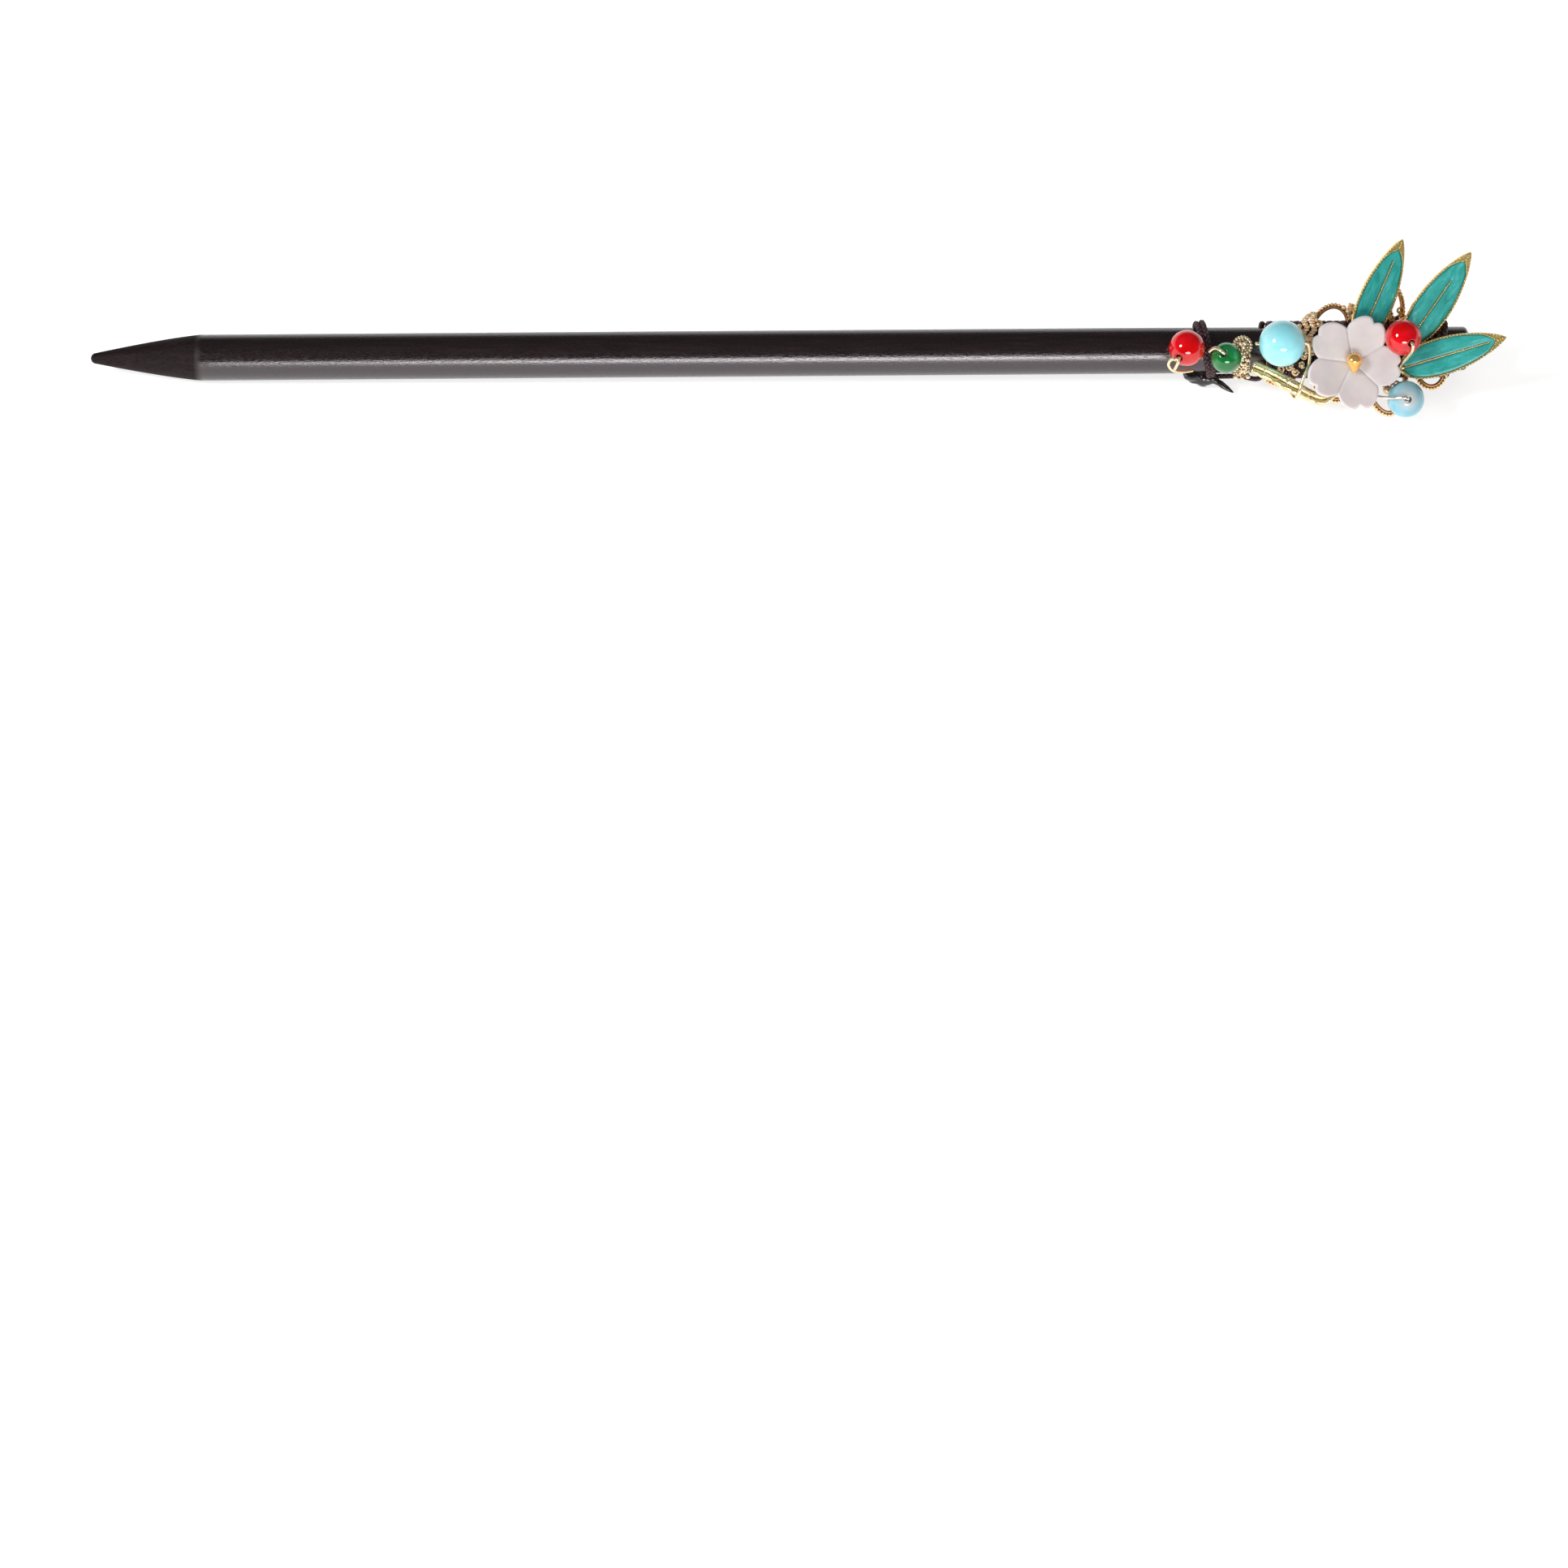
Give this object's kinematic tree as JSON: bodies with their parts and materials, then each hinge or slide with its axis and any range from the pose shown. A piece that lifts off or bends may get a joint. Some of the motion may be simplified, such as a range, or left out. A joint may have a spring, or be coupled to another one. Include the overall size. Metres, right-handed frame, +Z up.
{
  "type": "hair stick",
  "caption": "Slim dark wooden hair stick with a blunt cone tip, its butt end bound by cord to a filigree plate that carries enamelled leaves, a frosted flower and round beads.",
  "frame": {"origin": "on the stick's axis, halfway between the tip and the butt end", "axes": "+X along the stick towards the ornamented butt end, +Z up as it lies on a table, -Y towards the viewer of its face"},
  "size_m": [0.1838, 0.0158, 0.0197],
  "materials": {
    "dark_wood": "near-black brown hardwood, satin, with fine open pores",
    "antique_bronze": "rose-brown antique finish on cast filigree, bright on the granules and dark in the recesses",
    "binding_cord": "fine braided cord, dark aubergine with a faint pink speckle",
    "melted_cord": "melted and hardened cord end, lumpy and shiny black",
    "leaf_gold": "polished gilt casting, slightly hammered on the back",
    "teal_enamel": "teal enamel with cloudy lighter streaks and darker edges, satin gloss",
    "frosted_petal": "frosted milky glass, faintly pink",
    "amber_gold": "polished amber gold",
    "red_glass": "glossy deep red glass with a paler rim",
    "green_glass": "glossy dark green glass with a milky rim",
    "turquoise": "opaque polished turquoise",
    "blue_glass": "milky pale blue glass, whiter at the heart",
    "pale_gold": "pale yellow gold plating, bright",
    "silver_wire": "bright silvery wire"
  },
  "bodies": {
    "root": {"stick": "dark_wood", "filigree_plate": "antique_bronze", "cord_wrap": "binding_cord", "cord_lead": "binding_cord", "cord_band": "binding_cord", "cord_knot": "melted_cord", "leaf_1": "leaf_gold", "leaf_2": "leaf_gold", "leaf_3": "leaf_gold", "enamel_1": "teal_enamel", "enamel_2": "teal_enamel", "enamel_3": "teal_enamel", "flower": "frosted_petal", "flower_pin": "amber_gold", "red_bead_1": "red_glass", "red_bead_2": "red_glass", "green_bead": "green_glass", "turquoise_bead": "turquoise", "blue_bead": "blue_glass", "rosette": "pale_gold", "twig": "pale_gold", "wire_red_1": "pale_gold", "wire_red_2": "pale_gold", "wire_green": "pale_gold", "wire_turquoise": "pale_gold", "wire_blue": "silver_wire", "wire_twig": "pale_gold"}
  },
  "joints": []
}
